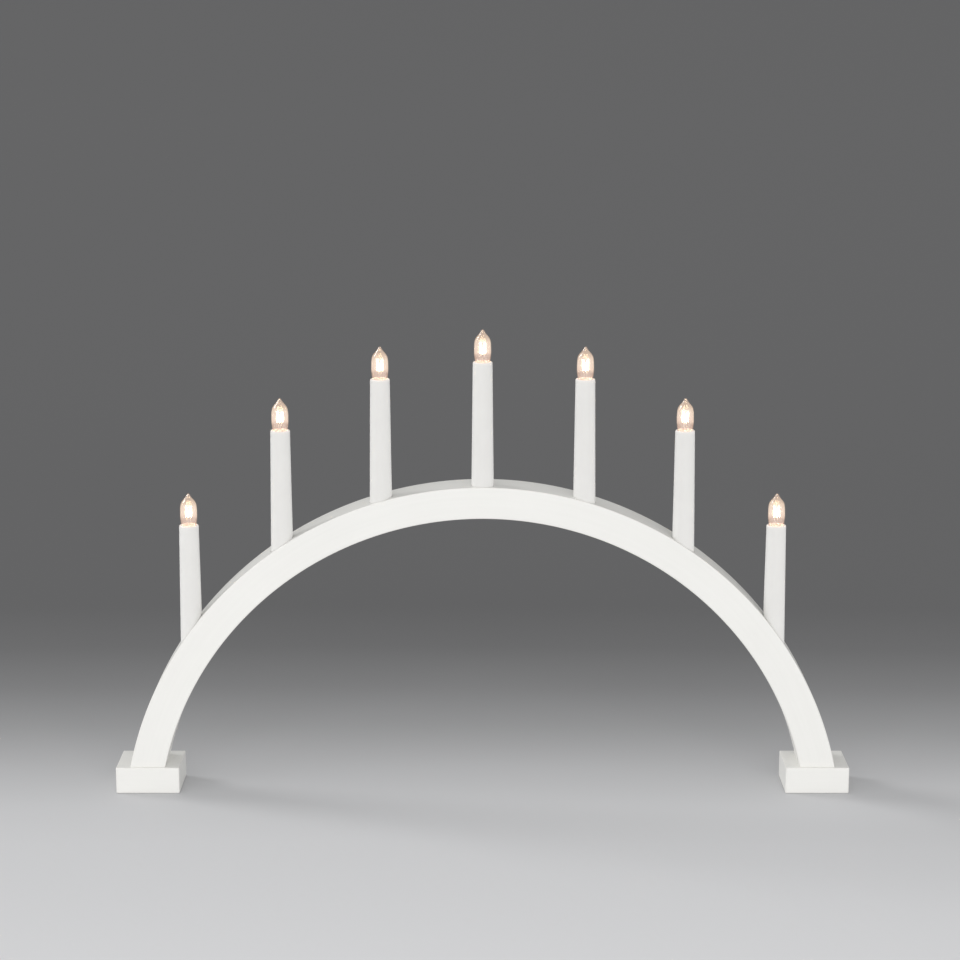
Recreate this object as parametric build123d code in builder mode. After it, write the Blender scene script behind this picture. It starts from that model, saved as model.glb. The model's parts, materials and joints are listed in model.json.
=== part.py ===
from build123d import *
import os
from math import acos, asin, cos, degrees, radians, sin, sqrt

# A candle arch: a painted wooden arch on two block feet, with seven electric candles
# standing upright in it. Millimetres, +Z up, +X to the viewer's right, +Y away from the viewer.
# The origin is on the floor, midway between the feet.

# Arch: a flat board bow of rectangular section, cut level where it stands on the feet.
# Its thickness is that of the crown: the hollow curve's centre lies a little above the outer
# curve's, so the legs are thicker. The arch stands forward of the middle of its feet.
arch_top_height = 246.5
arch_outer_radius = 284.0
arch_thickness = 24.7
arch_depth = 33.5
arch_edge_chamfer = 0.7
arch_forward = 3.0
hollow_centre_rise = 2.8

# Feet and the felt under them
foot_length = 50.0
foot_depth = 44.0
foot_height = 20.5
foot_edge_radius = 0.8
pad_thickness = 0.5
pad_inset = 0.6
pad_corner_radius = 1.0

# Screws that hold each foot to its leg, from underneath
screw_radius = 1.9
screw_head_radius = 3.6
screw_head_height = 2.6
screw_recess_depth = 4.0
screw_bite = 16.0
screw_spacing = 18.0
screw_clearance = 0.15

# Candle places, as angles from the top of the arch, how deep each sleeve is let in
# at the lower edge of its hole, and the wood left in front of the holes
inner_candle_angle = 16.1
middle_candle_angle = 33.3
outer_candle_angle = 53.4
centre_seat_depth = 3.0
inner_seat_depth = 2.5
middle_seat_depth = 3.7
outer_seat_depth = 3.9
front_wall = 1.0

# Candle sleeve: a tapered tube with a thicker collar round the lamp
sleeve_length = 99.8
sleeve_taper = 1.1
sleeve_wall = 1.2
sleeve_shoulder_radius = 1.1
sleeve_clearance = 0.3
collar_length = 6.5
collar_ledge = 0.45
collar_clearance = 0.3

# Lamp: a small pear lamp with a 10 mm screw cap, measured from the sleeve's rim
lamp_height = 24.7
glass_radius = 6.5
glass_rim_radius = 5.6
glass_wall = 0.6
glass_tip_radius = 0.7
glass_neck_length = 2.0
stem_thickness = 1.5
cap_drop = 4.5
cap_radius = 4.75
cap_length = 9.5
cap_wall = 0.3
thread_pitch = 1.814
thread_depth = 0.35
cap_hole_radius = 2.4
tip_radius = 2.0
tip_length = 2.2
tip_stem_radius = 1.6
tip_stem_length = 1.0
cap_clearance = 0.1

# Filament: one wire on two legs, through holes in the glass stem
filament_wire_radius = 0.25
filament_leg_offset = 1.3
filament_height = 11.0
filament_tail = 1.0
filament_bend_radius = 0.9
filament_clearance = 0.1

# Lamp socket: an insulating cup that holds a brass shell and a centre contact
socket_length = 14.0
socket_floor = 2.5
socket_wall = 0.95
socket_clearance = 0.2
shell_wall = 0.3
shell_drop = 0.5
shell_clearance = 0.05
contact_radius = 1.8

# Wiring channel in the hollow face of the arch, its cover strip and brads
groove_depth = 6.0
groove_margin = 0.5
groove_end_margin = 3.0
cover_thickness = 1.6
cover_ledge = 2.5
cover_clearance = 0.15
brad_radius = 0.6
brad_length = 7.0
brad_head_radius = 1.0
brad_head_height = 0.6
brad_clearance = 0.08
brad_pairs = 6

# Wires
wire_radius = 0.9
wire_clearance = 0.3
wire_bend_radius = 3.5
wire_hole_radius = 5.0
wire_terminal_offset = 2.2
return_wire_offset = 2.8

# Bushing where the mains cord leaves, low on the right leg, a small gap above the foot
bushing_gap = 2.8
bushing_bore_radius = 2.0
bushing_wall = 0.8
bushing_flange_width = 0.9
bushing_flange_thickness = 1.0
bushing_length = 2.4
bushing_clearance = 0.1

# How far a cut runs past the face it opens
overrun = 2.0


# Places worked out from the sizes above
arch_inner_radius = arch_outer_radius - arch_thickness - hollow_centre_rise
arch_centre_z = arch_top_height - arch_outer_radius
hollow_centre_z = arch_centre_z + hollow_centre_rise
foot_top = pad_thickness + foot_height

# The fits in a candle, from the lamp's cap outwards to the hole in the arch
shell_radius = cap_radius + cap_clearance
socket_bore_radius = shell_radius + shell_wall + shell_clearance
collar_radius = glass_rim_radius + collar_clearance
sleeve_bore_radius = max(socket_bore_radius + socket_wall + socket_clearance, collar_radius + collar_ledge)
socket_radius = sleeve_bore_radius - socket_clearance
sleeve_top_radius = sleeve_bore_radius + sleeve_wall
sleeve_bottom_radius = sleeve_top_radius + sleeve_taper
sleeve_hole_radius = sleeve_bottom_radius + sleeve_clearance
candle_y = front_wall + sleeve_hole_radius - arch_depth / 2

# The wiring channel, wide enough on both sides for the wire holes, and its cover
groove_radius = arch_inner_radius + groove_depth
groove_half_width = abs(candle_y) + wire_hole_radius + groove_margin
cover_radius = arch_inner_radius + cover_thickness
rebate_half_width = groove_half_width + cover_ledge
wire_run_radius = cover_radius + wire_clearance + wire_radius


def on_hollow(radius, angle):
    """The point (x, z) at this radius about the hollow curve's centre, and at this angle from the top,
    in degrees, positive to the right."""
    return (radius * sin(radians(angle)), hollow_centre_z + radius * cos(radians(angle)))


def x_on_circle(radius, z, centre_z=hollow_centre_z):
    """How far out from the middle a circle about this centre is, at height z."""
    return sqrt(radius**2 - (z - centre_z) ** 2)


def z_on_circle(radius, x, centre_z=hollow_centre_z):
    """The height of a circle about this centre, x out from the middle."""
    return centre_z + sqrt(radius**2 - x**2)


def ring_sector(inner_radius, outer_radius, start_angle, end_angle):
    """A stretch along the hollow face, between two radii and two angles, drawn in the sketch that is open."""
    middle = (start_angle + end_angle) / 2
    with BuildLine() as outline:
        ThreePointArc(*(on_hollow(outer_radius, a) for a in (start_angle, middle, end_angle)))
        Line(on_hollow(outer_radius, end_angle), on_hollow(inner_radius, end_angle))
        ThreePointArc(*(on_hollow(inner_radius, a) for a in (end_angle, middle, start_angle)))
        Line(on_hollow(inner_radius, start_angle), on_hollow(outer_radius, start_angle))
    make_face(outline.edges())


def radial_plane(radius, angle, y):
    """A plane square to the hollow face's radius, facing outwards, at this radius, angle and depth."""
    x, z = on_hollow(radius, angle)
    return Plane(origin=(x, y, z), x_dir=(0, 1, 0), z_dir=(sin(radians(angle)), 0, cos(radians(angle))))


def axial_plane(x, z):
    """The upright plane through a candle's axis: its first axis is radius and its second is height."""
    return Plane(origin=(x, candle_y, z), x_dir=(1, 0, 0), z_dir=(0, -1, 0))


def candle_axis(x):
    """The upright axis of a candle."""
    return Axis((x, candle_y, 0), (0, 0, 1))


def save(built, name, forward=arch_forward):
    """Sets a finished piece forward, labels it and writes it to its own file."""
    piece = Pos(0, -forward, 0) * built.part
    piece.label = name
    export_step(piece, f"parts/{name}.step")


# Each candle's axis, the floor of its hole, its rim and the bottom of its socket
candles = []
for angle, seat_depth in (
    (-outer_candle_angle, outer_seat_depth),
    (-middle_candle_angle, middle_seat_depth),
    (-inner_candle_angle, inner_seat_depth),
    (0, centre_seat_depth),
    (inner_candle_angle, inner_seat_depth),
    (middle_candle_angle, middle_seat_depth),
    (outer_candle_angle, outer_seat_depth),
):
    candle_x = arch_outer_radius * sin(radians(angle))
    floor_z = z_on_circle(arch_outer_radius, abs(candle_x) + sleeve_hole_radius, arch_centre_z) - seat_depth
    rim_z = floor_z + sleeve_length
    socket_z = rim_z - collar_length - socket_length
    candles.append((candle_x, floor_z, rim_z, socket_z))

# The legs' ends, and the screws midway between the wiring channel and the outer face
leg_x = (x_on_circle(arch_outer_radius, foot_top, arch_centre_z) + x_on_circle(arch_inner_radius, foot_top)) / 2
screw_outer_x = x_on_circle(arch_outer_radius, foot_top + screw_bite, arch_centre_z)
screw_x = (screw_outer_x + x_on_circle(groove_radius, foot_top)) / 2
screw_places = [(side * screw_x, end * screw_spacing / 2) for side in (-1, 1) for end in (-1, 1)]

# The cord bushing, and the two ends of the wiring channel
bushing_radius = bushing_bore_radius + bushing_wall
bushing_flange_radius = bushing_radius + bushing_flange_width
bushing_z = foot_top + bushing_gap + bushing_flange_radius
bushing_angle = degrees(acos((bushing_z - hollow_centre_z) / arch_inner_radius))
bushing_y = groove_half_width - bushing_flange_radius - groove_margin
groove_start = -degrees(
    asin((candles[-1][0] + wire_hole_radius) / groove_radius) + groove_end_margin / groove_radius
)
groove_end = bushing_angle + degrees(bushing_flange_radius / arch_inner_radius)
cover_start = groove_start + degrees(cover_clearance / arch_inner_radius)
cover_end = groove_end - degrees(cover_clearance / arch_inner_radius)

# The brads, in pairs along both edges of the cover
brad_y = groove_half_width + cover_ledge / 2
brad_inset = degrees(groove_end_margin / arch_inner_radius)
brad_step = (groove_end - groove_start - 2 * brad_inset) / (brad_pairs - 1)
brad_planes = [
    radial_plane(arch_inner_radius, groove_start + brad_inset + i * brad_step, side * brad_y)
    for i in range(brad_pairs)
    for side in (-1, 1)
]

os.makedirs("parts", exist_ok=True)

# Arch body: one bow of painted wood
with BuildPart() as arch_body:
    with BuildSketch(Plane.XZ):
        with Locations((0, arch_centre_z)):
            Circle(arch_outer_radius)
        with Locations((0, hollow_centre_z)):
            Circle(arch_inner_radius, mode=Mode.SUBTRACT)
    extrude(amount=arch_depth / 2, both=True)
    chamfer(arch_body.edges().filter_by(GeomType.CIRCLE), arch_edge_chamfer)
    split(bisect_by=Plane.XY.offset(foot_top), keep=Keep.TOP)
    # The wiring channel, and the shallow rebate that its cover lies in
    with BuildSketch(Plane.XZ):
        ring_sector(arch_inner_radius - overrun, groove_radius, groove_start, groove_end)
    extrude(amount=groove_half_width, both=True, mode=Mode.SUBTRACT)
    with BuildSketch(Plane.XZ):
        ring_sector(arch_inner_radius - overrun, cover_radius, groove_start, groove_end)
    extrude(amount=rebate_half_width, both=True, mode=Mode.SUBTRACT)
    # A flat-floored upright hole for each sleeve, and a wire hole from it into the channel
    for candle_x, floor_z, rim_z, socket_z in candles:
        with BuildSketch(Plane.XY.offset(floor_z)):
            with Locations((candle_x, candle_y)):
                Circle(sleeve_hole_radius)
        extrude(amount=sleeve_length, mode=Mode.SUBTRACT)
        with BuildSketch(Plane.XY.offset(floor_z)):
            with Locations((candle_x, candle_y)):
                Circle(wire_hole_radius)
        wire_hole_depth = floor_z - z_on_circle(groove_radius, abs(candle_x) + wire_hole_radius)
        extrude(amount=-(wire_hole_depth + overrun), mode=Mode.SUBTRACT)
    # Pilot holes for the foot screws and the brads
    with BuildSketch(Plane.XY.offset(foot_top)):
        with Locations(*screw_places):
            Circle(screw_radius + screw_clearance)
    extrude(amount=screw_bite + screw_clearance, mode=Mode.SUBTRACT)
    for plane in brad_planes:
        with BuildSketch(plane):
            Circle(brad_radius + brad_clearance)
        extrude(amount=brad_length + brad_clearance, mode=Mode.SUBTRACT)
save(arch_body, "arch_body")

# Groove cover: a thin bent strip, flush with the hollow face
with BuildPart() as groove_cover:
    with BuildSketch(Plane.XZ):
        ring_sector(arch_inner_radius, cover_radius - cover_clearance, cover_start, cover_end)
    extrude(amount=rebate_half_width - cover_clearance, both=True)
    for plane in brad_planes:
        with BuildSketch(plane):
            Circle(brad_radius + brad_clearance)
        extrude(amount=cover_thickness, mode=Mode.SUBTRACT)
        with BuildSketch(plane):
            Circle(brad_head_radius + brad_clearance)
        extrude(amount=brad_head_height + brad_clearance, both=True, mode=Mode.SUBTRACT)
    with BuildSketch(radial_plane(arch_inner_radius, bushing_angle, bushing_y)):
        Circle(bushing_radius + bushing_clearance)
    extrude(amount=cover_thickness, both=True, mode=Mode.SUBTRACT)
save(groove_cover, "groove_cover")

# Brads along both edges of the cover
with BuildPart() as cover_brads:
    for plane in brad_planes:
        with BuildSketch(plane.offset(brad_clearance)):
            Circle(brad_head_radius)
        extrude(amount=brad_head_height)
        with BuildSketch(plane.offset(brad_clearance)):
            Circle(brad_radius)
        extrude(amount=brad_length - brad_clearance)
save(cover_brads, "cover_brads")

# Feet: plain blocks, sanded at every edge but the sawn underside's, with screw holes sunk from below
for side, foot_name in ((-1, "left_foot"), (1, "right_foot")):
    foot_screw_places = [(x, y - arch_forward) for x, y in screw_places if x * side > 0]
    with BuildPart() as foot:
        with BuildSketch(Plane.XY.offset(pad_thickness)):
            with Locations((side * leg_x, 0)):
                Rectangle(foot_length, foot_depth)
        extrude(amount=foot_height)
        underside_edges = foot.edges().group_by(Axis.Z)[0]
        fillet(foot.edges() - underside_edges, foot_edge_radius)
        with BuildSketch(Plane.XY.offset(pad_thickness)):
            with Locations(*foot_screw_places):
                Circle(screw_radius + screw_clearance)
        extrude(amount=foot_height, mode=Mode.SUBTRACT)
        with BuildSketch(Plane.XY.offset(pad_thickness)):
            with Locations(*foot_screw_places):
                Circle(screw_head_radius + screw_clearance)
        extrude(amount=screw_recess_depth, mode=Mode.SUBTRACT)
    save(foot, foot_name, forward=0)

# Foot screws, two to a foot, with their heads against the floors of the sunk holes
with BuildPart() as foot_screws:
    head_seat = pad_thickness + screw_recess_depth
    with BuildSketch(Plane.XY.offset(head_seat)):
        with Locations(*screw_places):
            Circle(screw_head_radius)
    extrude(amount=-screw_head_height)
    with BuildSketch(Plane.XY.offset(head_seat)):
        with Locations(*screw_places):
            Circle(screw_radius)
    extrude(amount=foot_top + screw_bite - head_seat)
save(foot_screws, "foot_screws")

# Felt pads, glued under the feet
with BuildPart() as felt_pads:
    with BuildSketch():
        with Locations((-leg_x, 0), (leg_x, 0)):
            RectangleRounded(foot_length - 2 * pad_inset, foot_depth - 2 * pad_inset, pad_corner_radius)
    extrude(amount=pad_thickness)
save(felt_pads, "felt_pads", forward=0)

# Cord bushing: a flanged tube through the cover, at the foot of the right leg
with BuildPart() as cord_bushing:
    mouth = radial_plane(arch_inner_radius, bushing_angle, bushing_y).offset(-bushing_clearance)
    with BuildSketch(mouth):
        Circle(bushing_flange_radius)
    extrude(amount=-bushing_flange_thickness)
    with BuildSketch(mouth):
        Circle(bushing_radius)
    extrude(amount=bushing_length)
    with BuildSketch(mouth):
        Circle(bushing_bore_radius)
    extrude(amount=bushing_length + bushing_flange_thickness, both=True, mode=Mode.SUBTRACT)
save(cord_bushing, "cord_bushing")


def groove_bend(x, side):
    """Where a wire that hangs at x turns into the channel, towards the side 1 or -1: the end of its
    upright, the middle of its bend, and the point and angle where it joins the run along the bow."""
    bend_x = x + side * wire_bend_radius
    bend_z = z_on_circle(wire_run_radius + wire_bend_radius, bend_x)
    join_angle = degrees(asin(bend_x / (wire_run_radius + wire_bend_radius)))
    joint = on_hollow(wire_run_radius, join_angle)
    chord_x = (x + joint[0]) / 2 - bend_x
    chord_z = (bend_z + joint[1]) / 2 - bend_z
    reach = wire_bend_radius / sqrt(chord_x**2 + chord_z**2)
    return (x, bend_z), (bend_x + chord_x * reach, bend_z + chord_z * reach), joint, join_angle


def wire(y, start, end=None):
    """A wire in the upright plane at depth y, in the part that is open. It drops from start (x, z),
    runs along the channel to the right and climbs to end (x, z), or stops short of the bushing."""
    plane = Plane(origin=(0, y, 0), x_dir=(1, 0, 0), z_dir=(0, -1, 0))
    foot_point, bend_point, joint, join_angle = groove_bend(start[0], 1)
    with BuildLine(plane) as route:
        Line(start, foot_point)
        ThreePointArc(foot_point, bend_point, joint)
        if end:
            last_point, last_bend, last_joint, last_angle = groove_bend(end[0], -1)
        else:
            last_angle = bushing_angle
            last_joint = on_hollow(wire_run_radius, last_angle)
        ThreePointArc(joint, on_hollow(wire_run_radius, (join_angle + last_angle) / 2), last_joint)
        if end:
            ThreePointArc(last_joint, last_bend, last_point)
            Line(last_point, end)
    with BuildSketch(Plane(origin=(start[0], y, start[1]), z_dir=(0, 0, -1))) as section:
        Circle(wire_radius)
    sweep(section.sketch, path=route.line)


# Series wires: from each socket to the next
with BuildPart() as series_wires:
    for (left_x, _, _, left_z), (right_x, _, _, right_z) in zip(candles[:-1], candles[1:]):
        wire(candle_y, (left_x + wire_terminal_offset, left_z), (right_x - wire_terminal_offset, right_z))
save(series_wires, "series_wires")

# Supply wires: from the last socket, and back from the first, to the cord bushing
with BuildPart() as supply_wires:
    wire(candle_y, (candles[-1][0] + wire_terminal_offset, candles[-1][3]))
    wire(candle_y + return_wire_offset, (candles[0][0], candles[0][3]))
save(supply_wires, "supply_wires")

# Heights in a candle, measured up from its rim
socket_top = -collar_length
socket_bottom = socket_top - socket_length
socket_floor_top = socket_bottom + socket_floor
cap_top = -cap_drop
cap_bottom = cap_top - cap_length
cap_bore_radius = cap_radius - thread_depth - cap_wall
tip_top = cap_bottom - cap_clearance
tip_bottom = tip_top - tip_length
neck_radius = cap_bore_radius - cap_clearance
neck_bottom = cap_top - glass_neck_length
leg_bottom = neck_bottom - filament_tail
leg_places = ((-filament_leg_offset, 0), (filament_leg_offset, 0))

# The rim's rounding and the filament's bends, limited by the wall and the span that carry them
shoulder_limit_share = 0.9
bend_limit_share = 0.9
shoulder_radius = min(sleeve_shoulder_radius, shoulder_limit_share * (sleeve_top_radius - collar_radius))
bend_radius = min(filament_bend_radius, bend_limit_share * filament_leg_offset)

# The rolled thread on a cap, as rounds of ridge and valley from the bottom up
ridge_count = int(cap_length // thread_pitch) - 1
thread_profile = [(cap_radius - thread_depth, cap_bottom + thread_pitch / 2)]
for ridge in range(1, ridge_count + 1):
    thread_profile.append((cap_radius, cap_bottom + ridge * thread_pitch))
    thread_profile.append((cap_radius - thread_depth, cap_bottom + (ridge + 1 / 2) * thread_pitch))

# The glass outline, as shares of its radius and of its height over the rim
glass_outline_shares = ((1.0, 0.26), (0.99, 0.50), (0.91, 0.69), (0.69, 0.81), (0.30, 0.94))


def glass_outline(inset, bottom):
    """The lamp's outline, taken in by inset, from its bottom at the cap to its point on the axis."""
    point = lamp_height - glass_tip_radius - inset
    flanks = [(glass_radius * r - inset, point * h) for r, h in glass_outline_shares]
    with BuildLine() as outline:
        Line((neck_radius - inset, bottom), (neck_radius - inset, cap_top))
        Line((neck_radius - inset, cap_top), (glass_rim_radius - inset, 0))
        Spline((glass_rim_radius - inset, 0), *flanks, (0, point))
        Line((0, point), (0, bottom))
        Line((0, bottom), (neck_radius - inset, bottom))
    make_face(outline.edges())


# The candles, from left to right
for number, (candle_x, floor_z, rim_z, socket_z) in enumerate(candles, start=1):
    plane = axial_plane(candle_x, rim_z)
    axis = candle_axis(candle_x)

    # Sleeve: a tapered plastic tube, its collar inside the top
    with BuildPart() as candle_sleeve:
        with BuildSketch(plane):
            with BuildLine():
                Polyline(
                    (sleeve_bottom_radius, -sleeve_length),
                    (sleeve_top_radius, 0),
                    (collar_radius, 0),
                    (collar_radius, socket_top),
                    (sleeve_bore_radius, socket_top),
                    (sleeve_bottom_radius - sleeve_wall, -sleeve_length),
                    close=True,
                )
            make_face()
        revolve(axis=axis)
        rim_edges = candle_sleeve.edges().filter_by(GeomType.CIRCLE).group_by(Axis.Z)[-1]
        fillet(rim_edges.sort_by(SortBy.RADIUS)[-1], shoulder_radius)
    save(candle_sleeve, f"candle_sleeve_{number}")

    # Socket body: an insulating cup that comes up against the collar
    with BuildPart() as socket_body:
        with BuildSketch(Plane.XY.offset(socket_z)):
            with Locations((candle_x, candle_y)):
                Circle(socket_radius)
        extrude(amount=socket_length)
        with BuildSketch(Plane.XY.offset(socket_z + socket_floor)):
            with Locations((candle_x, candle_y)):
                Circle(socket_bore_radius)
        extrude(amount=socket_length, mode=Mode.SUBTRACT)
    save(socket_body, f"socket_body_{number}")

    # Socket contacts: the brass screw shell and the centre contact, both on the cup's floor
    with BuildPart() as socket_contacts:
        with BuildSketch(Plane.XY.offset(socket_z + socket_floor)):
            with Locations((candle_x, candle_y)):
                Circle(shell_radius + shell_wall)
                Circle(shell_radius, mode=Mode.SUBTRACT)
        extrude(amount=socket_length - socket_floor - shell_drop)
        with BuildSketch(Plane.XY.offset(socket_z + socket_floor)):
            with Locations((candle_x, candle_y)):
                Circle(contact_radius)
        extrude(amount=tip_bottom - socket_floor_top - cap_clearance)
    save(socket_contacts, f"socket_contacts_{number}")

    # Lamp tip: the insulated button under the cap
    with BuildPart() as lamp_tip:
        with BuildSketch(plane):
            with BuildLine():
                Polyline(
                    (0, tip_bottom),
                    (tip_radius, tip_bottom),
                    (tip_radius, tip_top),
                    (tip_stem_radius, tip_top),
                    (tip_stem_radius, tip_top + tip_stem_length),
                    (0, tip_top + tip_stem_length),
                    close=True,
                )
            make_face()
        revolve(axis=axis)
    save(lamp_tip, f"lamp_tip_{number}")

    # Lamp cap: a brass cup with rolled thread ridges
    with BuildPart() as lamp_cap:
        with BuildSketch(plane):
            with BuildLine():
                Polyline(
                    (cap_hole_radius, cap_bottom),
                    (cap_bore_radius, cap_bottom),
                    *thread_profile,
                    (cap_radius - thread_depth, cap_top),
                    (cap_bore_radius, cap_top),
                    (cap_bore_radius, cap_bottom + cap_wall),
                    (cap_hole_radius, cap_bottom + cap_wall),
                    close=True,
                )
            make_face()
        revolve(axis=axis)
    save(lamp_cap, f"lamp_cap_{number}")

    # Lamp glass: a thin pear with a sealed tip, its stem pierced for the filament's legs
    with BuildPart() as lamp_glass:
        with BuildSketch(plane):
            glass_outline(0, neck_bottom)
        revolve(axis=axis)
        with Locations((candle_x, candle_y, rim_z + lamp_height - glass_tip_radius)):
            Sphere(glass_tip_radius)
        with BuildSketch(plane):
            glass_outline(glass_wall, neck_bottom + stem_thickness)
        revolve(axis=axis, mode=Mode.SUBTRACT)
        with BuildSketch(Plane(origin=(candle_x, candle_y, rim_z + neck_bottom))):
            with Locations(*leg_places):
                Circle(filament_wire_radius + filament_clearance)
        extrude(amount=stem_thickness, mode=Mode.SUBTRACT)
    save(lamp_glass, f"lamp_glass_{number}")

    # Lamp filament: up one leg, across and down the other
    with BuildPart() as lamp_filament:
        with BuildLine(plane) as filament_path:
            FilletPolyline(
                (-filament_leg_offset, leg_bottom),
                (-filament_leg_offset, filament_height),
                (filament_leg_offset, filament_height),
                (filament_leg_offset, leg_bottom),
                radius=bend_radius,
            )
        with BuildSketch(Plane(origin=(candle_x, candle_y, rim_z + leg_bottom))):
            with Locations(leg_places[0]):
                Circle(filament_wire_radius)
        sweep(path=filament_path.line)
    save(lamp_filament, f"lamp_filament_{number}")
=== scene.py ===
"""A white candle arch with seven lit electric candles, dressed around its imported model. All in metres."""

import json

import bmesh
import bpy
import numpy as np
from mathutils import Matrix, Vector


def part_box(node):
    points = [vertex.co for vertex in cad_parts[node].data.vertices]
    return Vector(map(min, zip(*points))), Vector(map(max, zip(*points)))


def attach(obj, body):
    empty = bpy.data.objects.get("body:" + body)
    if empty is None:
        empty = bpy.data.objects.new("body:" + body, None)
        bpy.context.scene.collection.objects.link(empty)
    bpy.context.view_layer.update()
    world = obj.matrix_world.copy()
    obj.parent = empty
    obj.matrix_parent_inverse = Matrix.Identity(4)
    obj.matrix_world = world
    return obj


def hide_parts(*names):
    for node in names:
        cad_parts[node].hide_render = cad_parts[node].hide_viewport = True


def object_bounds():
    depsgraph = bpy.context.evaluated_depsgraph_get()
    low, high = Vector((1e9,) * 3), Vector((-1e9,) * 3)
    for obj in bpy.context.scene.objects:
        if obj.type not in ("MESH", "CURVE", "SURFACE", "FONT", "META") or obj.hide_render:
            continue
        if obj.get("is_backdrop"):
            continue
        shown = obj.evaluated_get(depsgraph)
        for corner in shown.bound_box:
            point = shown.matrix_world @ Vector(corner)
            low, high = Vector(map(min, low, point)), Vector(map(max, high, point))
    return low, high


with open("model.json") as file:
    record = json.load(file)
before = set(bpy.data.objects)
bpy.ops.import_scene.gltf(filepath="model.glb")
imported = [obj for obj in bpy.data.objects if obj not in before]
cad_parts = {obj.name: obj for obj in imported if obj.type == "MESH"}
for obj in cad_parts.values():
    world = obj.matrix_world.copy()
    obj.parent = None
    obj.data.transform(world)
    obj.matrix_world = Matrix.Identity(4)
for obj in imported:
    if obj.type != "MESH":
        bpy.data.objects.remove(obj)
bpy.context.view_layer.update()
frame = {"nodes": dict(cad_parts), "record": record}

# Felt soles: a thin sheet of pressed wool felt is glued under each foot, cut a little smaller than it.
# Its cut edges are soft and slightly rounded.
MM = 0.001


class Tone:
    """A socket of a material's nodes. Arithmetic on tones adds Math nodes, and make adds any other node."""

    def __init__(self, tree, socket):
        self.tree = tree
        self.socket = socket

    def make(self, kind, settings, inputs, output=0):
        """A node of this kind: its settings are set first, a ramp's stops among them, then its inputs."""
        node = self.tree.nodes.new(kind)
        for name, value in settings.items():
            if name == "stops":
                for place, colour in value[1:-1]:
                    node.color_ramp.elements.new(place).color = colour
                node.color_ramp.elements[0].color = value[0][1]
                node.color_ramp.elements[-1].color = value[-1][1]
                node.color_ramp.elements[0].position = value[0][0]
                node.color_ramp.elements[-1].position = value[-1][0]
            else:
                setattr(node, name, value)
        for name, value in inputs.items():
            if isinstance(value, Tone):
                self.tree.links.new(value.socket, node.inputs[name])
            else:
                node.inputs[name].default_value = value
        return Tone(self.tree, node.outputs[output])

    def math(self, operation, first, second):
        return self.make("ShaderNodeMath", {"operation": operation}, {0: first, 1: second})

    def __add__(self, other):
        return self.math("ADD", self, other)

    def __radd__(self, other):
        return self.math("ADD", other, self)

    def __sub__(self, other):
        return self.math("SUBTRACT", self, other)

    def __rsub__(self, other):
        return self.math("SUBTRACT", other, self)

    def __mul__(self, other):
        return self.math("MULTIPLY", self, other)

    def __rmul__(self, other):
        return self.math("MULTIPLY", other, self)

    def __truediv__(self, other):
        return self.math("DIVIDE", self, other)

    def __rtruediv__(self, other):
        return self.math("DIVIDE", other, self)

    def __pow__(self, other):
        return self.math("POWER", self, other)

    def __rpow__(self, other):
        return self.math("POWER", other, self)

    def mix(self, first, second):
        """The colour between first and second, at this tone's share."""
        return self.make("ShaderNodeMix", {"data_type": "RGBA"}, {0: self, 6: first, 7: second}, 2)

    def noise(self, scale, detail):
        """Smooth noise from 0 to 1 about this place, its grain 1/scale of a metre."""
        return self.make("ShaderNodeTexNoise", {}, {"Vector": self, "Scale": scale, "Detail": detail})

    def stretched(self, x, y, z):
        """This place with its three axes multiplied."""
        return self.make("ShaderNodeVectorMath", {"operation": "MULTIPLY"}, {0: self, 1: (x, y, z)})

    def bump(self, strength, depth):
        """A surface normal that is raised by this tone times depth."""
        return self.make("ShaderNodeBump", {}, {"Strength": strength, "Distance": depth, "Height": self})


def start_finish(name, constants):
    """A new material with its shader's constants set: the material, the shader and the Object place."""
    material = bpy.data.materials.new(name)
    material.use_nodes = True
    tree = material.node_tree
    shader = tree.nodes["Principled BSDF"]
    for socket, value in constants.items():
        shader.inputs[socket].default_value = value
    return material, shader, Tone(tree, tree.nodes.new("ShaderNodeTexCoord").outputs["Object"])


def feed(shader, tones):
    """Links tones to a shader's sockets by name."""
    for socket, tone in tones.items():
        tone.tree.links.new(tone.socket, shader.inputs[socket])


def rounded_outline(half_x, half_y, radius, steps, flank):
    """Outlines (rows, columns, 2) of rectangles with quarter circles at the corners, turning left. Each
    corner is a circle about its own centre, with one more point a flank before it and after it on the
    straight sides."""
    quarter = np.linspace(0, np.pi / 2, steps)
    turn = (np.arange(4)[:, None] * np.pi / 2 + np.r_[0, quarter, np.pi / 2]).ravel()
    ahead = np.tile(np.r_[-flank, np.zeros(steps), flank], 4)
    sign_x = np.repeat([1, -1, -1, 1], steps + 2)
    sign_y = np.repeat([1, 1, -1, -1], steps + 2)
    x = sign_x * (half_x - radius) + radius * np.cos(turn) - ahead * np.sin(turn)
    y = sign_y * (half_y - radius) + radius * np.sin(turn) + ahead * np.cos(turn)
    return np.stack(np.broadcast_arrays(x, y), axis=-1)


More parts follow.
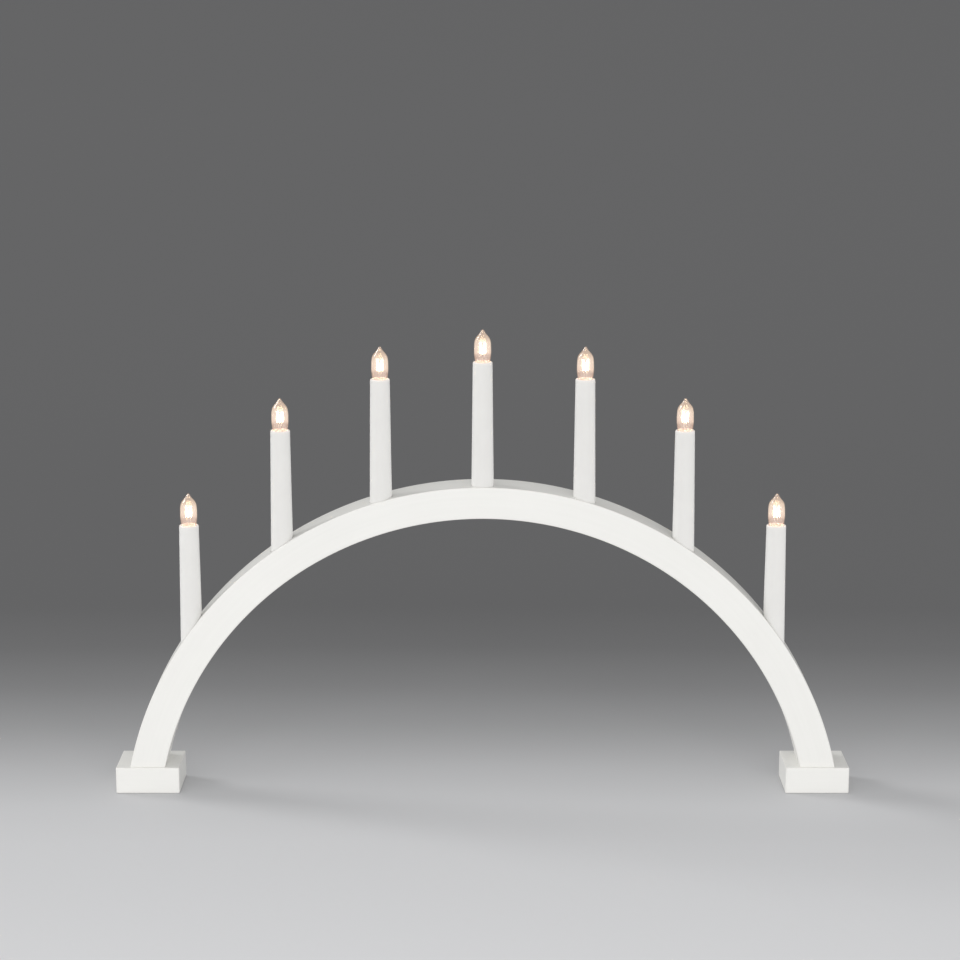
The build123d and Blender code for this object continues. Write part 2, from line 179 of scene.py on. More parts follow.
def block_rows(low, high, corner, bottom_edge, top_edge, edge_steps, corner_steps, flank):
    """A closed block as rows of points from the middle of its underside to the middle of its top. Each row
    is a rounded outline, drawn in along a quarter circle at the bottom and top edges, whose corners stay
    open by a small share of the bottom edge. The second array is 1 on edges."""
    half = (high - low) / 2
    turn = np.linspace(0, np.pi / 2, edge_steps)
    inset = [np.r_[edge + flank, edge * (1 - np.sin(turn)), 0] for edge in (bottom_edge, top_edge)]
    rise = [np.r_[0, edge * (1 - np.cos(turn)), edge + flank] for edge in (bottom_edge, top_edge)]
    worn = np.r_[0, np.ones(edge_steps), 0]
    inset = np.r_[inset[0], inset[1][::-1]][:, None]
    height = np.r_[low[2] + rise[0], high[2] - rise[1][::-1]][:, None]
    least_corner = bottom_edge / 9
    corners = np.maximum(corner - inset, least_corner)
    outline = rounded_outline(half[0] - inset, half[1] - inset, corners, corner_steps, flank)
    heights = np.broadcast_to(height[..., None], outline.shape[:2] + (1,))
    rows = np.concatenate([outline, heights], axis=-1)
    rows[..., :2] += ((low + high) / 2)[:2]
    middle = np.broadcast_to((low + high) / 2, (1, rows.shape[1], 3)).copy()
    under, over = middle.copy(), middle.copy()
    under[..., 2], over[..., 2] = low[2], high[2]
    round_columns = np.tile(np.r_[0, np.ones(corner_steps), 0], 4)
    side_rows = np.r_[0, np.ones(2 * edge_steps + 2), 0][:, None]
    edges = np.maximum(np.r_[worn, worn[::-1]][:, None], round_columns * side_rows)
    flat = np.zeros((1, rows.shape[1]))
    return np.concatenate([under, rows, over]), np.concatenate([flat, edges, flat])


weld_distance = 1e-7


def build_piece(name, grids, finish, marks=None, capped=False, wrapped=False, sharp=0.6):
    """An object from grids of points (rows, columns, 3) with quads between neighbours. Columns always close
    round, rows only where wrapped; capped closes the first and last rows. marks are named values, one to
    a point, and edges that bend by more than sharp stay crisp."""
    points, faces, start = [], [], 0
    for grid in grids:
        index = np.arange(start, start + grid.shape[0] * grid.shape[1]).reshape(grid.shape[:2])
        start = index[-1, -1] + 1
        if capped:
            faces += [index[0, ::-1].tolist(), index[-1].tolist()]
        if wrapped:
            index = np.vstack([index, index[:1]])
        right = np.roll(index, -1, axis=1)
        faces += np.stack([index[:-1], right[:-1], right[1:], index[1:]], axis=-1).reshape(-1, 4).tolist()
        points.append(grid.reshape(-1, 3))
    mesh = bpy.data.meshes.new(name)
    mesh.from_pydata(np.concatenate(points).tolist(), [], faces)
    for mark, values in (marks or {}).items():
        layer = mesh.attributes.new(mark, "FLOAT", "POINT")
        layer.data.foreach_set("value", np.concatenate([v.ravel() for v in values]).astype(np.float32))
    shell = bmesh.new()
    shell.from_mesh(mesh)
    bmesh.ops.remove_doubles(shell, verts=shell.verts, dist=weld_distance)
    shell.to_mesh(mesh)
    shell.free()
    mesh.shade_smooth()
    mesh.set_sharp_from_angle(angle=sharp)
    mesh.materials.append(finish)
    piece = bpy.data.objects.new(name, mesh)
    bpy.context.scene.collection.objects.link(piece)
    return piece


def seat(piece, body, slot, *nodes):
    """Puts a finished piece on its body and lets it stand for its nodes. slot is not used."""
    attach(piece, body)
    if nodes:
        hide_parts(*nodes)


felt, felt_shader, place = start_finish("pressed_felt", {"Roughness": 0.95, "Sheen Weight": 0.3})
felt_fibre = place.stretched(1, 1, 0.4).noise(scale=1800, detail=5)
feed(felt_shader, {
    "Base Color": felt_fibre.mix((0.58, 0.57, 0.55, 1), (0.76, 0.75, 0.72, 1)),
    "Normal": felt_fibre.bump(strength=0.7, depth=0.3 * MM),
})
felt_low, felt_high = (np.array(corner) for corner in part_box("felt_pads"))
foot_low, foot_high = (np.array(corner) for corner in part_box("right_foot"))
felt_inset = foot_high[0] - felt_high[0]
felt_corner, felt_edge, felt_flank = 1 * MM, 0.12 * MM, 0.05 * MM
felt_grids = []
for side in (-1, 1):
    inner = foot_low[0] + felt_inset
    low = np.array([min(side * inner, side * felt_high[0]), felt_low[1], felt_low[2]])
    high = np.array([max(side * inner, side * felt_high[0]), felt_high[1], felt_high[2]])
    felt_rows, _ = block_rows(
        low, high, felt_corner, felt_edge, felt_edge, edge_steps=4, corner_steps=7, flank=felt_flank
    )
    felt_grids.append(felt_rows)
felt_soles = build_piece("felt_soles", felt_grids, felt)
seat(felt_soles, "arch", "felt", "felt_pads")


# Feet: two plain blocks of planed wood, sanded at every edge but the sawn underside's and painted satin
# white. The grain runs along the block and shows faintly through the paint.
def white_paint(name, grain_place):
    """Satin white paint over wood. grain_place gives the place along and across the grain, in metres."""
    material, shader, place = start_finish(name, {"Specular IOR Level": 0.4})
    along = grain_place(place)
    grain = along.stretched(14, 420, 420).noise(scale=1, detail=4)
    patches = place.noise(scale=24, detail=3)
    peel = place.noise(scale=900, detail=2)
    edge = place.make("ShaderNodeAttribute", {"attribute_name": "edge"}, {}, 2)
    worn = edge * (0.25 + 0.5 * patches)
    body = (0.55 * grain + 0.45 * patches).mix((0.805, 0.799, 0.768, 1), (0.872, 0.866, 0.836, 1))
    feed(shader, {
        "Base Color": worn.mix(body, (0.83, 0.815, 0.78, 1)),
        "Roughness": 0.36 + 0.10 * patches + 0.06 * grain,
        "Normal": (0.65 * grain + 0.35 * peel).bump(strength=0.30, depth=0.06 * MM),
    })
    return material


foot_paint = white_paint("foot_paint", lambda place: place)
foot_edge, sawn_edge, foot_flank = 0.8 * MM, 0.12 * MM, 1.2 * MM
for name in ("left_foot", "right_foot"):
    low, high = (np.array(corner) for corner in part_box(name))
    rows, edges = block_rows(
        low, high, foot_edge, sawn_edge, foot_edge, edge_steps=6, corner_steps=6, flank=foot_flank
    )
    foot = build_piece(f"{name}_block", [rows], foot_paint, {"edge": [edges]})
    seat(foot, "arch", "painted_wood", name)


# Foot screws: two zinc-plated wood screws hold each foot to its leg from underneath.
# Their heads are sunk into the foot and hidden by the felt.
def dress(prefix, material):
    """Gives a material to every CAD node whose name starts with prefix."""
    for name, node in frame["nodes"].items():
        if name.startswith(prefix):
            node.data.materials.clear()
            node.data.materials.append(material)


zinc, zinc_shader, place = start_finish("zinc_plate", {"Metallic": 1.0})
zinc_cloud = place.noise(scale=700, detail=3)
feed(zinc_shader, {
    "Base Color": zinc_cloud.mix((0.50, 0.51, 0.54, 1), (0.66, 0.66, 0.68, 1)),
    "Roughness": 0.28 + 0.2 * zinc_cloud,
})
dress("foot_screws", zinc)

# Arch: one bow of wood with a rectangular section, a little thicker in the legs, sawn level where it
# stands on the feet and painted white all over. A wiring channel and a shallow rebate are cut into its
# hollow face, and upright holes take the sleeves.
bow_low, bow_high = (np.array(corner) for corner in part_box("arch_body"))
bow_rise = bow_high[2] - bow_low[2]
bow_outer = (bow_high[0] ** 2 + bow_rise**2) / (2 * bow_rise)
bow_thickness, hollow_rise = 24.7 * MM, 2.8 * MM
bow_inner = bow_outer - bow_thickness - hollow_rise
bow_centre = bow_high[2] - bow_outer
hollow_centre = bow_centre + hollow_rise
bow_half_depth = (bow_high[1] - bow_low[1]) / 2
bow_middle = (bow_high[1] + bow_low[1]) / 2
bow_edge, bow_flank = 0.75 * MM, 0.4 * MM
bow_rows, bow_sharp = 420, 0.5
end_ease, end_share = 0.2 * MM, 0.002
strip_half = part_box("groove_cover")[1][1] - bow_middle
strip_gap, rebate_ledge = 0.15 * MM, 2.5 * MM
rebate_depth, rebate_half = 1.6 * MM, strip_half + strip_gap
channel_depth, channel_half = 6 * MM, rebate_half - rebate_ledge


def bow_points(centre, radius, angle, y):
    """Points at a radius and an angle from the crown about a centre's height, at depth y from the bow's
    middle."""
    x, z = radius * np.sin(angle), centre + radius * np.cos(angle)
    return np.stack(np.broadcast_arrays(x, bow_middle + y, z), axis=-1)


def polar_place(place):
    """The place along the bow, across its thickness and through its depth, in metres."""
    split = place.make("ShaderNodeSeparateXYZ", {}, {0: place})
    x, y, z = (Tone(place.tree, out) for out in split.socket.node.outputs)
    up = z - bow_centre
    arc = x.math("ARCTAN2", x, up) * bow_outer
    reach = (x * x + up * up) ** 0.5
    return place.make("ShaderNodeCombineXYZ", {}, {0: arc, 1: reach, 2: y})


def cover_angles():
    """The angles from the crown at which the wiring channel's cover starts and ends."""
    node = frame["nodes"]["groove_cover"].data
    places = np.zeros(len(node.vertices) * 3)
    node.vertices.foreach_get("co", places)
    places = places.reshape(-1, 3)
    angle = np.arctan2(places[:, 0], places[:, 2] - hollow_centre)
    return angle.min(), angle.max()


def bow_section(inset, cut):
    """The bow's section as rows of (y, offset from the middle radius): a rectangle with rounded corners, and
    along the hollow face the steps of the rebate and the channel, each cut times its full depth. 1 marks
    the corners."""
    corner_steps = 5
    half_y = bow_thickness / 2 - inset
    outline = rounded_outline(bow_half_depth - inset, half_y, bow_edge, corner_steps, bow_flank)
    step_y = np.array([rebate_half, rebate_half, channel_half, channel_half])
    step_cut = np.array([0, rebate_depth, rebate_depth, channel_depth])
    step_offset = np.r_[step_cut, step_cut[::-1]] * cut - half_y
    steps = np.stack(np.broadcast_arrays(np.r_[-step_y, step_y[::-1]], step_offset), axis=-1)
    hollow_face = 3 * (corner_steps + 2)
    edge = np.tile(np.r_[0, np.ones(corner_steps), 0], 4)
    edge = np.r_[edge[:hollow_face], np.zeros(len(step_y) * 2), edge[hollow_face:]]
    return np.concatenate([outline[:, :hollow_face], steps, outline[:, hollow_face:]], axis=1), edge


def turned(profile, foot, axis, steps):
    """Points of a profile of (radius, height) turned about an axis that starts at foot. The profile turns
    left round its own solid, with the axis on its left, so that the faces look outwards."""
    axis = np.array(axis, float)
    first = np.cross(axis, [0.0, 1.0, 0.0])
    first /= np.linalg.norm(first)
    second = np.cross(axis, first)
    turn = np.linspace(0, 2 * np.pi, steps, endpoint=False)[None, :, None]
    radius, height = profile[:, 0, None, None], profile[:, 1, None, None]
    return np.array(foot) + height * axis + radius * (np.cos(turn) * first + np.sin(turn) * second)


def axis_place(low, high, height):
    """The point on the upright middle line of a box at this height."""
    return np.array([(low[0] + high[0]) / 2, (low[1] + high[1]) / 2, height])


def cut_out(piece, cutters):
    """Cuts closed grids of points out of a piece for good."""
    tool = build_piece("bow_cutter", cutters, piece.data.materials[0])
    cut = piece.modifiers.new("bores", "BOOLEAN")
    cut.object, cut.operation, cut.solver = tool, "DIFFERENCE", "EXACT"
    worked_out = piece.evaluated_get(bpy.context.evaluated_depsgraph_get())
    drilled = bpy.data.meshes.new_from_object(worked_out)
    piece.modifiers.clear()
    plain, piece.data = piece.data, drilled
    drilled.name = plain.name
    bpy.data.objects.remove(tool)
    drilled.shade_smooth()
    drilled.set_sharp_from_angle(angle=bow_sharp)


numbers, upright = range(1, 8), (0, 0, 1)
sleeve_boxes = {n: [np.array(corner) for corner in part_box(f"candle_sleeve_{n}")] for n in numbers}
cover_start, cover_end = cover_angles()
end_angle = np.arccos((bow_low[2] - hollow_centre) / bow_inner)
channel_ends = np.array([cover_start, cover_end]) / end_angle
even_share = np.linspace(-1, 1, bow_rows)
share = np.sort(np.r_[even_share, channel_ends, channel_ends, 1 - end_share, end_share - 1])
inside = (share > channel_ends[0]) & (share < channel_ends[1])
inside[np.searchsorted(share, channel_ends[0]) + 1] = True
inside[np.searchsorted(share, channel_ends[1])] = True
eased = np.where(np.abs(share) == 1, end_ease, 0)
section, bow_edges = bow_section(eased[:, None], inside[:, None])
on_hollow = section[..., 1] < 0
section_centre = np.where(on_hollow, hollow_centre, bow_centre)
middle_radius = np.where(on_hollow, bow_inner + bow_thickness / 2, bow_outer - bow_thickness / 2)
section_radius = middle_radius + section[..., 1]
section_angle = share[:, None] * np.arccos((bow_low[2] - section_centre) / section_radius)
bow_grid = bow_points(section_centre, section_radius, section_angle, section[..., 0])
bow_paint = white_paint("bow_paint", polar_place)
bow_marks = {"edge": [np.tile(bow_edges, len(share))]}
bow = build_piece("arch_bow", [bow_grid], bow_paint, bow_marks, capped=True, sharp=bow_sharp)
bore_radius, bore_reach, bore_steps = 8.95 * MM, 60 * MM, 96
bore_profile = np.array([(0, 0), (bore_radius, 0), (bore_radius, bore_reach), (0, bore_reach)])
bores = []
for low, high in sleeve_boxes.values():
    bores.append(turned(bore_profile, axis_place(low, high, low[2]), upright, bore_steps))
cut_out(bow, bores)
seat(bow, "arch", "painted_wood", "arch_body")


# Wires: thin insulated leads join the seven sockets in series inside the channel, and two more run to the
# cord outlet. All of them lie behind the cover.
def plain_plastic(name, dark, light, roughness):
    """Moulded plastic with a faint cloud of colour and a fine skin."""
    material, shader, place = start_finish(name, {"Specular IOR Level": 0.45})
    cloud = place.noise(scale=160, detail=3)
    feed(shader, {
        "Base Color": cloud.mix(dark, light),
        "Roughness": roughness + 0.08 * cloud,
        "Normal": place.noise(scale=2500, detail=2).bump(strength=0.12, depth=0.03 * MM),
    })
    return material


wire_skin = plain_plastic("wire_skin", (0.70, 0.69, 0.65, 1), (0.78, 0.77, 0.73, 1), 0.45)
dress("series_wires", wire_skin)
dress("supply_wires", wire_skin)

# Cover strip: a thin painted strip is bent into the rebate of the hollow face and closes the channel.
# Pairs of small flat-headed brads hold it along both edges.
strip_sink, strip_edge, strip_flank, strip_rows = 0.05 * MM, 0.15 * MM, 0.6 * MM, 360
strip_thickness = rebate_depth - 2 * strip_sink
strip_outline = rounded_outline(strip_half, strip_thickness / 2, strip_edge, 4, strip_flank)
strip_radius = bow_inner + strip_sink + strip_thickness / 2 + strip_outline[..., 1]
strip_angle = np.linspace(cover_start, cover_end, strip_rows)[:, None]
strip_grid = bow_points(hollow_centre, strip_radius, strip_angle, strip_outline[..., 0])
strip = build_piece("cover_strip", [strip_grid], bow_paint, capped=True)
seat(strip, "arch", "painted_strip", "groove_cover")

brad_pairs, brad_inset, brad_radius = 6, 3 * MM, 1.0 * MM
brad_dome, brad_shank, brad_steps = 0.12 * MM, 0.6 * MM, 20
brad_turn = np.linspace(0, np.pi / 2, 6)
brad_profile = np.stack([brad_radius * np.cos(brad_turn), brad_dome * np.sin(brad_turn)], axis=-1)
brad_profile = np.concatenate([[(0, -brad_shank), (brad_radius, -brad_shank)], brad_profile])
brad_reach = bow_inner + strip_sink
brad_reach_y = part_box("cover_brads")[1][1] - bow_middle - brad_radius
brad_margin = brad_inset / bow_inner
brad_angles = np.linspace(cover_start + brad_margin, cover_end - brad_margin, brad_pairs)
brad_grids = []
for angle in brad_angles:
    for y in (-brad_reach_y, brad_reach_y):
        brad_place = bow_points(hollow_centre, brad_reach, angle, y)
        inwards = (-np.sin(angle), 0, -np.cos(angle))
        brad_grids.append(turned(brad_profile, brad_place, inwards, brad_steps))
brads = build_piece("brad_heads", brad_grids, zinc)
seat(brads, "arch", "steel", "cover_brads")

# Cord outlet: a white plastic bushing lines the hole in the hollow face of the right leg.
# It has a rounded flange and a bore for the cord.
outlet = next(mount for mount in frame["record"]["mounts"] if mount["name"] == "cord_outlet")
outlet_bore, outlet_flange, outlet_wall = outlet["dims"]["r_mm"] * MM, 3.7 * MM, 0.8 * MM
outlet_depth, flange_sink, flange_rise = 3.0 * MM, 0.1 * MM, 0.45 * MM
outlet_outside = outlet_bore + outlet_wall
bushing_turn = np.linspace(0, np.pi, 12)
bushing_rim = np.stack([np.cos(bushing_turn), np.sin(bushing_turn)], axis=-1)
bushing_profile = np.concatenate([
    [(outlet_bore, -outlet_depth), (outlet_outside, -outlet_depth), (outlet_outside, -flange_sink)],
    [(outlet_flange, -flange_sink)],
    bushing_rim * [(outlet_flange - outlet_bore) / 2, flange_rise] + [(outlet_flange + outlet_bore) / 2, 0],
])
bushing_plastic = plain_plastic("bushing_plastic", (0.72, 0.72, 0.70, 1), (0.80, 0.80, 0.78, 1), 0.4)
bushing_grid = turned(bushing_profile, outlet["pos_m"], outlet["axis"], steps=48)
bushing = build_piece("outlet_bushing", [bushing_grid], bushing_plastic, wrapped=True)
seat(bushing, "arch", "bushing_plastic", "cord_bushing")

# Sleeves: each candle is a slightly tapered tube of white plastic that stands in a hole of the arch.
# Its top is rounded over and closed by a collar round the bulb; painted glow shows the lamp warming the rim.
sleeve_top, sleeve_collar, sleeve_bore = 7.55 * MM, 5.9 * MM, 6.4 * MM
sleeve_round, collar_round, collar_length = 1.1 * MM, 0.3 * MM, 6.5 * MM
painted_rim_glow, rim_reach = 0.16, 1.0 * MM


def quarter(centre, radius, start, steps):
    """A quarter circle of (radius, height) points that turns left from a start angle."""
    turn = start + np.linspace(0, np.pi / 2, steps)
    return np.array(centre) + radius * np.stack([np.cos(turn), np.sin(turn)], axis=-1)


sleeve_plastic, sleeve_shader, place = start_finish("sleeve_plastic", {
    "Roughness": 0.42, "Specular IOR Level": 0.4, "Emission Strength": 1.0, "Diffuse Roughness": 1.0,
})
drop = place.make("ShaderNodeAttribute", {"attribute_name": "drop"}, {}, 2)
sleeve_cloud = place.noise(scale=60, detail=3)
# Painted glow: warm emission fading with the drop below the rim, for the lamp's light in the plastic.
painted_rim_light = painted_rim_glow * np.e ** (drop / -rim_reach)
feed(sleeve_shader, {
    "Base Color": sleeve_cloud.mix((0.785, 0.778, 0.760, 1), (0.825, 0.818, 0.800, 1)),
    "Emission Color": painted_rim_light.mix((0, 0, 0, 1), (1.0, 0.62, 0.42, 1)),
    "Normal": place.noise(scale=1500, detail=2).bump(strength=0.10, depth=0.04 * MM),
})
for n, (low, high) in sleeve_boxes.items():
    rim, base = high[2] - low[2], (high[0] - low[0]) / 2
    profile = np.concatenate([
        [(sleeve_bore, 0), (base, 0)],
        quarter((sleeve_top - sleeve_round, rim - sleeve_round), sleeve_round, start=0, steps=8),
        quarter((sleeve_collar + collar_round, rim - collar_round), collar_round, start=np.pi / 2, steps=5),
        [(sleeve_collar, rim - collar_length), (sleeve_bore, rim - collar_length)],
    ])
    grid = turned(profile, axis_place(low, high, low[2]), upright, steps=96)
    drops = {"drop": [high[2] - grid[..., 2]]}
    sleeve = build_piece(f"sleeve_{n}", [grid], sleeve_plastic, drops, wrapped=True)
    seat(sleeve, "arch", "sleeve_plastic", f"candle_sleeve_{n}")

# Sockets: a moulded shell with brass contacts sits inside each sleeve and takes the lamp's screw cap.
# Only the lamp shows above them.
socket_plastic = plain_plastic("socket_plastic", (0.60, 0.60, 0.58, 1), (0.68, 0.68, 0.66, 1), 0.5)
dress("socket_body", socket_plastic)


def stamped_metal(name, dark, light):
    """Stamped metal with cloudy tarnish."""
    material, shader, place = start_finish(name, {"Metallic": 1.0})
    tarnish = place.noise(scale=500, detail=4)
    feed(shader, {"Base Color": tarnish.mix(light, dark), "Roughness": 0.22 + 0.25 * tarnish})
    return material


brass = stamped_metal("brass", (0.50, 0.33, 0.13, 1), (0.78, 0.57, 0.27, 1))
dress("socket_contacts", brass)

# Lamp caps: a rolled brass screw thread with a solder button underneath.
# The thread is a true right-hand spiral.
solder = stamped_metal("solder", (0.45, 0.45, 0.46, 1), (0.62, 0.62, 0.63, 1))
dress("lamp_tip", solder)
thread_pitch, thread_depth, cap_wall = 1.814 * MM, 0.35 * MM, 0.25 * MM
cap_rows, cap_steps = 90, 64
for n in numbers:
    low, high = (np.array(corner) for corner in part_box(f"lamp_cap_{n}"))
    height = np.linspace(0, high[2] - low[2], cap_rows)[:, None]
    turn = np.linspace(0, 2 * np.pi, cap_steps, endpoint=False)[None, :]
    fade = np.clip(np.minimum(height, height[-1] - height) / thread_pitch, 0, 1)
    wave = 0.5 + 0.5 * np.cos(2 * np.pi * height / thread_pitch - turn)
    outside = (high[0] - low[0]) / 2 - thread_depth * (1 - wave * fade)
    inside_wall = np.full((2, cap_steps), outside.min() - cap_wall)
    radius = np.concatenate([outside, inside_wall])
    height = np.concatenate([height, height[-1:], height[:1]])
    x = (low[0] + high[0]) / 2 + radius * np.cos(turn)
    y = (low[1] + high[1]) / 2 + radius * np.sin(turn)
    grid = np.stack(np.broadcast_arrays(x, y, low[2] + height), axis=-1)
    cap = build_piece(f"cap_{n}", [grid], brass, wrapped=True)
    seat(cap, f"lamp_{n}", "brass", f"lamp_cap_{n}")


# Lamp glass: a blown envelope that is drawn to a sealed point, with a neck that is cemented into the cap.
# It is clear but for a faint warm painted glow of the lamp's light, and a glass stem inside carries the
# wires.
def smooth_line(points, steps):
    """A line through points by cubic pieces, whose slope at each point is that of the line between its
    neighbours."""
    points = np.array(points, float)
    slope = np.gradient(points, axis=0)
    share = np.linspace(0, 1, steps, endpoint=False)[:, None]
    rise, turn = share**2 * (3 - 2 * share), share * (1 - share)
    line = points[:-1, None] * (1 - rise) + points[1:, None] * rise
    line += turn * ((1 - share) * slope[:-1, None] - share * slope[1:, None])
    return np.concatenate([line.reshape(-1, 2), points[-1:]])


glass_outline = np.array([
    (3.65, -4.5), (4.6, -2.4), (5.6, 0.0), (6.2, 3.2), (6.5, 6.6), (6.5, 10.5), (6.35, 13.8), (5.8, 17.0),
    (4.6, 19.2), (3.1, 21.0), (1.75, 22.9), (0.95, 24.1), (0.5, 24.58), (0, 24.7),
]) * MM
glass_wall, glass_steps = 0.55 * MM, 64
glass_stem = np.array([(2.4, -4.0), (1.7, -2.6), (1.5, -0.8), (1.2, 0.4), (0, 0.9)]) * MM
glass, glass_shader, place = start_finish("clear_glass", {
    "Base Color": (1, 1, 1, 1), "Transmission Weight": 1.0, "IOR": 1.46, "Emission Strength": 1.0,
})
# Painted glow by height up the bulb, brightest in a middle band, for the filament's light in the glass.
rise = place.make("ShaderNodeAttribute", {"attribute_name": "rise"}, {}, 2)
painted_glass_glow = rise.make("ShaderNodeValToRGB", {"stops": [
    (0, (0.15, 0.098, 0.072, 1)), (0.16, (0.105, 0.066, 0.047, 1)), (0.28, (0.19, 0.138, 0.106, 1)),
    (0.48, (0.19, 0.146, 0.114, 1)), (0.62, (0.18, 0.135, 0.100, 1)), (0.76, (0.130, 0.092, 0.064, 1)),
    (0.88, (0.105, 0.074, 0.053, 1)), (1, (0.09, 0.066, 0.052, 1)),
]}, {"Fac": rise / glass_outline[-1, 1]})
feed(glass_shader, {
    "Roughness": 0.10 + 0.05 * place.noise(scale=400, detail=2),
    "Emission Color": painted_glass_glow,
})
for n in numbers:
    low, high = (np.array(corner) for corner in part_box(f"lamp_glass_{n}"))
    foot = axis_place(low, high, sleeve_boxes[n][1][2])
    neck = low[2] - foot[2]
    outside = smooth_line(glass_outline, steps=5)
    outside[:, 1] *= (high[2] - foot[2]) / outside[-1, 1]
    along = np.gradient(outside, axis=0)
    along /= np.linalg.norm(along, axis=1)[:, None]
    hollow = outside + glass_wall * along[:, ::-1] * [-1, 1]
    hollow[-1, 0] = 0
    hollow = np.maximum(hollow[::-1], [0, -np.inf])
    outer = np.concatenate([[(0, neck), (outside[0, 0], neck)], outside])
    inner = np.concatenate([hollow, smooth_line(glass_stem, steps=4)])
    grids = [turned(profile, foot, upright, glass_steps) for profile in (outer, inner)]
    rises = [np.maximum(grid[..., 2] - foot[2], 0) for grid in grids]
    bulb = build_piece(f"glass_{n}", grids, glass, {"rise": rises}, sharp=1.0)
    seat(bulb, f"lamp_{n}", "lamp_glass", f"lamp_glass_{n}")


# Filament: a fine coil of tungsten zigzags round in a crown, lit. Two nickel leads feed its ends from the
# stem, and thin hooks hold its upper bends.
def tube(path, radius, sides, guide):
    """Points of a round wire along a path (rows, 3): a circle square to the path about each of its points.
    guide is a direction for each row that is never along the path."""
    ahead = np.gradient(path, axis=0)
    ahead /= np.linalg.norm(ahead, axis=1)[:, None]
    first = guide - ahead * np.sum(guide * ahead, axis=1)[:, None]
    first /= np.linalg.norm(first, axis=1)[:, None]
    second = np.cross(ahead, first)
    turn = np.linspace(0, 2 * np.pi, sides, endpoint=False)[None, :, None]
    return path[:, None] + radius * (np.cos(turn) * first[:, None] + np.sin(turn) * second[:, None])


crown_radius, crown_low, crown_high, crown_strands = 2.2 * MM, 6.4 * MM, 14.3 * MM, 8
crown_turn, crown_bend = np.radians(300), 0.985
coil_radius, coil_wire, coil_pitch, coil_rows = 0.24 * MM, 0.075 * MM, 0.30 * MM, 2400
lead_radius, hook_radius, lead_bend = 0.14 * MM, 0.06 * MM, 1.0 * MM


def crown_line(share):
    """The filament's middle line: it goes evenly round the axis while its height swings up and down, with
    round bends. The second array is the direction outwards from the axis."""
    wave = np.sin(np.pi * (crown_strands * share - 0.5))
    swing = np.arcsin(crown_bend * wave) / np.arcsin(crown_bend)
    turn = crown_turn * (share - 0.5) - np.pi / 2
    out = np.stack([np.cos(turn), np.sin(turn), np.zeros_like(turn)], axis=-1)
    height = crown_low + (crown_high - crown_low) * (0.5 + 0.5 * swing)
    return crown_radius * out + height[:, None] * upright, out


tungsten, tungsten_shader, place = start_finish("lit_tungsten", {
    "Roughness": 0.5, "Emission Strength": 18.0,
})
heat = place.noise(scale=900, detail=1)
feed(tungsten_shader, {"Emission Color": heat.mix((1.0, 0.70, 0.40, 1), (1.0, 0.76, 0.48, 1))})
tungsten.cycles.emission_sampling = "NONE"
nickel = stamped_metal("nickel", (0.42, 0.39, 0.36, 1), (0.60, 0.57, 0.53, 1))
coil_share = np.linspace(0, 1, coil_rows)
middle, out = crown_line(coil_share)
length = np.r_[0, np.cumsum(np.linalg.norm(np.diff(middle, axis=0), axis=1))][:, None]
ahead = np.gradient(middle, axis=0)
ahead /= np.linalg.norm(ahead, axis=1)[:, None]
winding = 2 * np.pi * length / coil_pitch
spoke = np.cos(winding) * out + np.sin(winding) * np.cross(ahead, out)
coil_grid = tube(middle + coil_radius * spoke, coil_wire, sides=5, guide=spoke)
lead_ends, lead_out = crown_line(np.array([0.0, 1.0]))
lead_line = smooth_line([(1.3, -7.4), (1.3, -2.0), (1.2, 1.0), (1.35, 3.8), (2.2, 7.2)], steps=8) * MM
lead_guide = np.tile([0.0, 1.0, 0.0], (len(lead_line), 1))
lead_grids = []
for end, away in zip(lead_ends, lead_out):
    side = np.array([np.sign(end[0]), 0, 0])
    reach = np.interp(lead_line[:, 1], [lead_bend, end[2]], [0, 1])[:, None]
    path = side * lead_line[:, :1] * (1 - reach) + away * crown_radius * reach + lead_line[:, 1:] * upright
    lead_grids.append(tube(path, lead_radius, sides=8, guide=lead_guide))
hook_line = smooth_line([(0.25, 0.5), (0.3, 6.0), (0.7, 12.0), (2.2, 15.2)], steps=10) * MM
_, hook_out = crown_line((np.arange(4) * 2 + 1) / crown_strands)
for away in hook_out:
    path = away * hook_line[:, :1] + hook_line[:, 1:] * upright
    hook_guide = np.tile(np.cross(away, upright), (len(path), 1))
    lead_grids.append(tube(path, hook_radius, sides=6, guide=hook_guide))
for n in numbers:
    low, high = (np.array(corner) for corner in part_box(f"lamp_glass_{n}"))
    foot = axis_place(low, high, sleeve_boxes[n][1][2])
    coil = build_piece(f"coil_{n}", [coil_grid + foot], tungsten, capped=True, sharp=2.0)
    coil.visible_diffuse = False
    seat(coil, f"lamp_{n}", "filament", f"lamp_filament_{n}")
    leads = build_piece(f"leads_{n}", [grid + foot for grid in lead_grids], nickel, capped=True, sharp=1.2)
    seat(leads, f"lamp_{n}", "filament")

# Studio: a plain floor whose colour holds a painted pool of light round the object and falls away to painted
# grey shade behind it, a wide soft light from the front, a weak one from each side, a broad accent from the
# upper left, and the camera at the photograph's angle.
floor_finish, floor_shader, place = start_finish("studio_floor", {
    "Roughness": 0.85, "Specular IOR Level": 0.1,
})
light_pool_place = place.make("ShaderNodeMapping", {}, {
    "Vector": place, "Location": (0.04, 0.75, 0), "Scale": (0.33, 1, 1),
})
light_pool = place.make("ShaderNodeVectorMath", {"operation": "LENGTH"}, {0: light_pool_place}, 1)
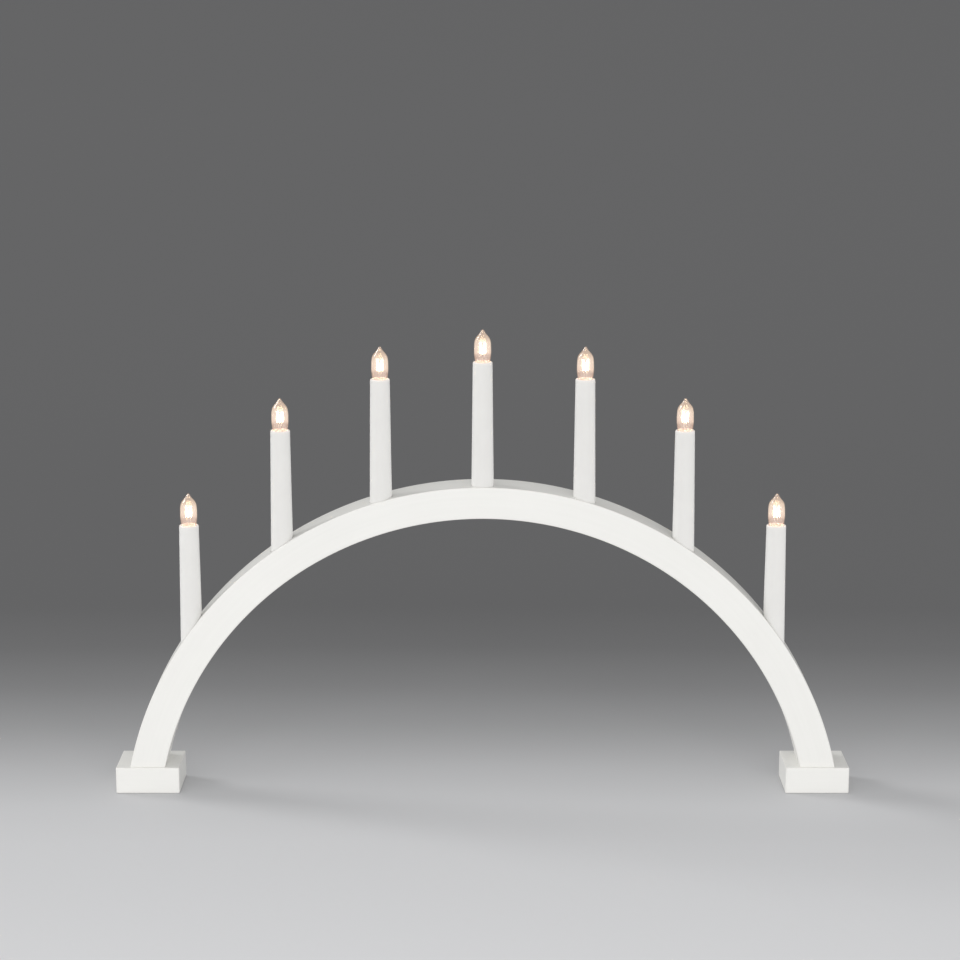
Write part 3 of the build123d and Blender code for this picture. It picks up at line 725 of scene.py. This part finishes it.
# Painted light: floor tone by distance from the pool's middle, pale where lit and grey in painted shade.
floor_light_levels = np.array([
    (0.0, 0.74), (0.40, 0.735), (0.62, 0.68), (0.70, 0.635), (0.795, 0.52), (0.90, 0.365), (1.02, 0.25),
    (1.15, 0.185), (1.30, 0.157), (1.9, 0.162), (3.6, 0.178), (9.0, 0.192), (30.0, 0.195),
])
cool_green, cool_blue = 1.004, 1.022
floor_light_stops = [
    (reach / (reach + 1), (level, level * cool_green, level * cool_blue, 1)) for reach, level in floor_light_levels
]
floor_light_tone = light_pool.make("ShaderNodeValToRGB", {"stops": floor_light_stops}, {"Fac": light_pool / (light_pool + 1)})
feed(floor_shader, {"Base Color": floor_light_tone})
floor_mesh = bpy.data.meshes.new("studio_floor")
floor_reach = 60
floor_corners = np.array([(-1, -1, 0), (1, -1, 0), (1, 1, 0), (-1, 1, 0)]) * floor_reach
floor_mesh.from_pydata(floor_corners, [], [(0, 1, 2, 3)])
floor_mesh.materials.append(floor_finish)
floor = bpy.data.objects.new("studio_floor", floor_mesh)
bpy.context.scene.collection.objects.link(floor)
floor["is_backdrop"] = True


def add_light(name, kind, place, settings):
    """A light at a place, turned towards the middle of the arch."""
    lamp = bpy.data.lights.new(name, kind)
    for setting, value in settings.items():
        setattr(lamp, setting, value)
    light = bpy.data.objects.new(name, lamp)
    light.location = place
    middle_of_arch = (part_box("arch_body")[0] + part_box("arch_body")[1]) / 2
    light.rotation_euler = (light.location - middle_of_arch).to_track_quat("Z", "Y").to_euler()
    bpy.context.scene.collection.objects.link(light)


front_panel = {"shape": "RECTANGLE", "size": 7.2, "size_y": 2.8}
side_panel = {"shape": "RECTANGLE", "size": 1.6, "size_y": 1.2}
add_light("front_light", "AREA", (0.1, -5.6, 1.8), {**front_panel, "energy": 177})
add_light("left_light", "AREA", (-2.3, -1.4, 0.9), {**side_panel, "energy": 9})
add_light("right_light", "AREA", (2.6, -1.6, 0.7), {**side_panel, "energy": 8})
add_light("left_accent", "SUN", (-3.25, 1.3, 2.2), {"angle": np.radians(20), "energy": 0.78})

world = bpy.data.worlds.new("studio")
world.use_nodes = True
bpy.context.scene.world = world
sky = world.node_tree.nodes["Background"]
rays = world.node_tree.nodes.new("ShaderNodeLightPath").outputs
ray_kinds = ("Camera", "Glossy", "Transmission")
seen, mirrored, through = (Tone(world.node_tree, rays[f"Is {kind} Ray"]) for kind in ray_kinds)
shown = seen.math("MAXIMUM", seen, mirrored.math("MAXIMUM", mirrored, through))
sky_light, sky_seen = (0.54, 0.54, 0.54, 1), (0.127, 0.127, 0.129, 1)
feed(sky, {"Color": shown.mix(sky_light, sky_seen)})

camera = bpy.data.objects.new("camera", bpy.data.cameras.new("camera"))
camera.data.lens, camera.data.sensor_width = 91.125, 36
camera.location = (-0.0020, -1.8477, 0.6415)
camera_down = np.radians(12.01)
camera.rotation_euler = (np.pi / 2 - camera_down, 0, 0)
bpy.context.scene.collection.objects.link(camera)
bpy.context.scene.camera = camera
bpy.context.scene.view_settings.view_transform = "Standard"

low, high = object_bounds()
